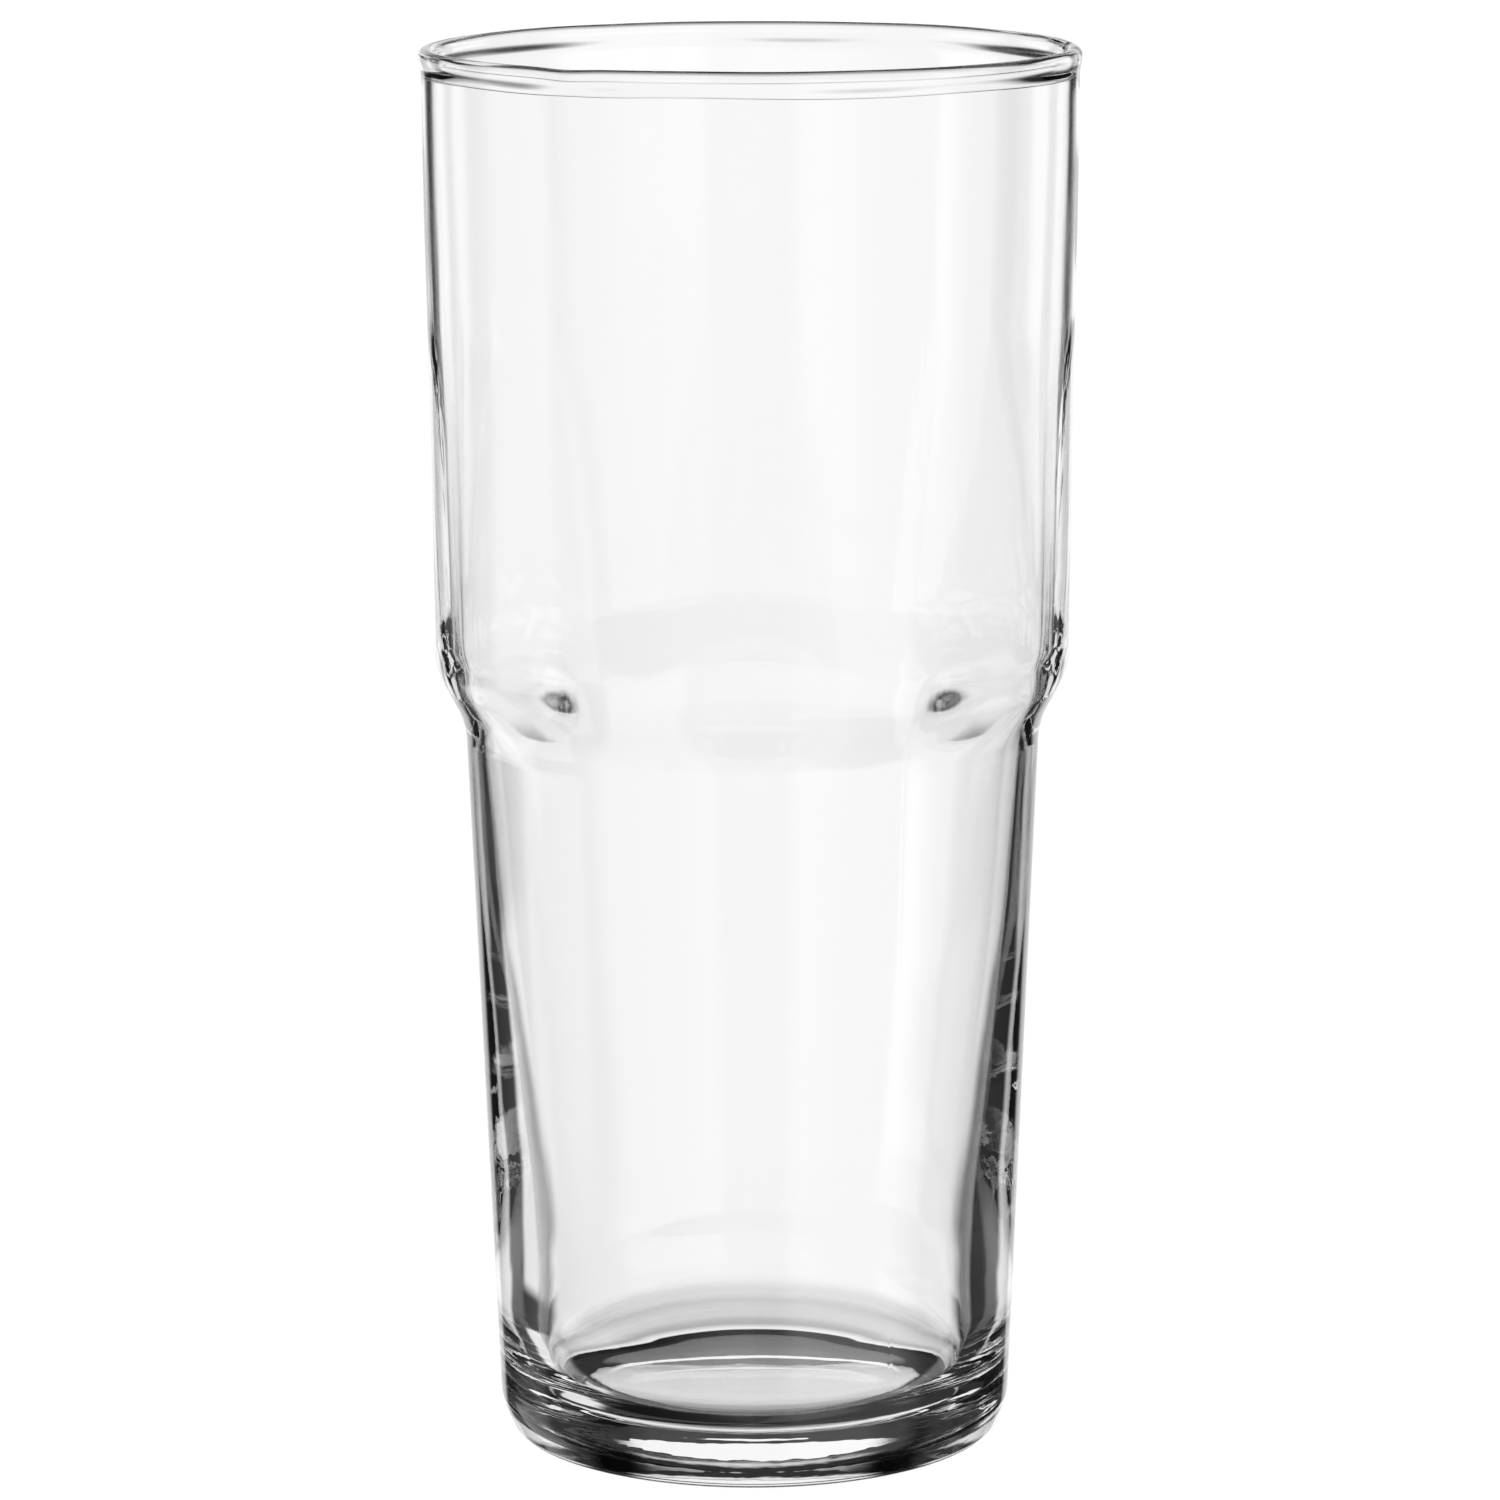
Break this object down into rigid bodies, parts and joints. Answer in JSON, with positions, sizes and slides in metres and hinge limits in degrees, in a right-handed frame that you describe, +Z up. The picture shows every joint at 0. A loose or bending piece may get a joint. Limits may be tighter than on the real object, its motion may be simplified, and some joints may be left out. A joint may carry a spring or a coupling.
{
  "type": "pint glass",
  "caption": "Tall clear stacking pint glass: wide upper body with inner upright flats, rounded shoulder, narrower lower body and a thick base.",
  "frame": {"origin": "centre of the plane the glass stands on, on its axis", "axes": "+Z up along the axis of the glass towards the rim; +X and +Y point at two of the eight shallow inner flats"},
  "size_m": [0.0746, 0.0746, 0.16],
  "materials": {
    "clear_glass": "clear polished soda-lime glass"
  },
  "bodies": {
    "root": {"glass_body": "clear_glass"}
  },
  "joints": []
}
